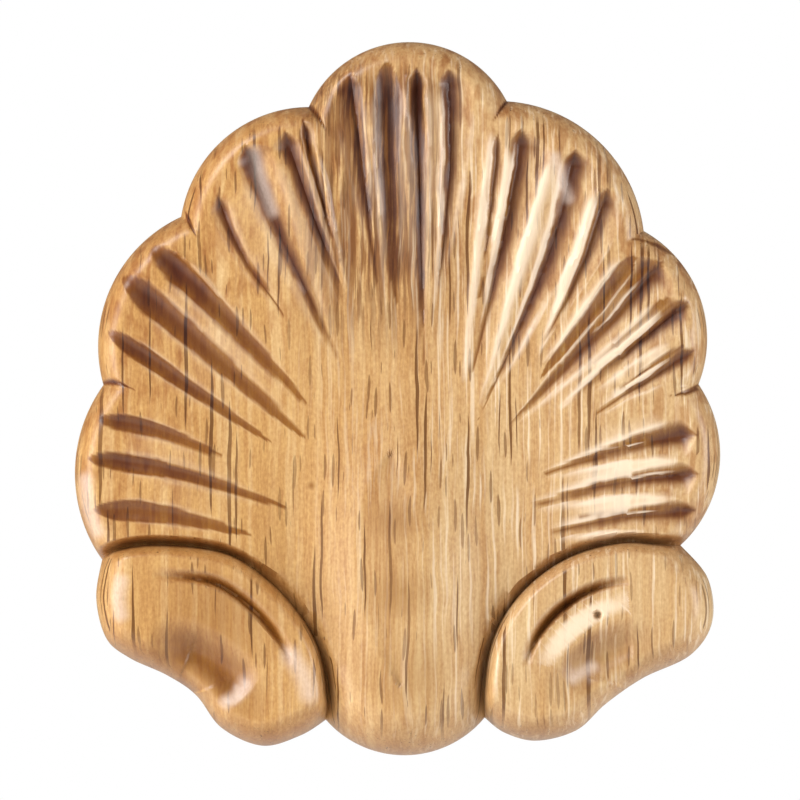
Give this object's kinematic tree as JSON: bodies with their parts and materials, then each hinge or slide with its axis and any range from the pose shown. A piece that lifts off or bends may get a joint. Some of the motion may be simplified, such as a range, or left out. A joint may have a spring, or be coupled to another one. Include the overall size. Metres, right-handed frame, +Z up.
{
  "type": "carved shell ornament",
  "caption": "Flat-backed carved wooden shell with a fluted, lobed fan, a rounded stem and two scrolls, fixed to furniture or panelling as an applique.",
  "frame": {"origin": "middle of the flat back, where the ornament is fixed", "axes": "+Z up along the stem to the top lobe, +X to the right seen from the front, +Y out of the back, so the carving faces -Y"},
  "size_m": [0.076, 0.0126, 0.084],
  "materials": {
    "oak": "carved oak with a thin golden stain and a satin clear coat, darker in the gouged flutes"
  },
  "bodies": {
    "root": {"carved_shell": "oak"}
  },
  "joints": []
}
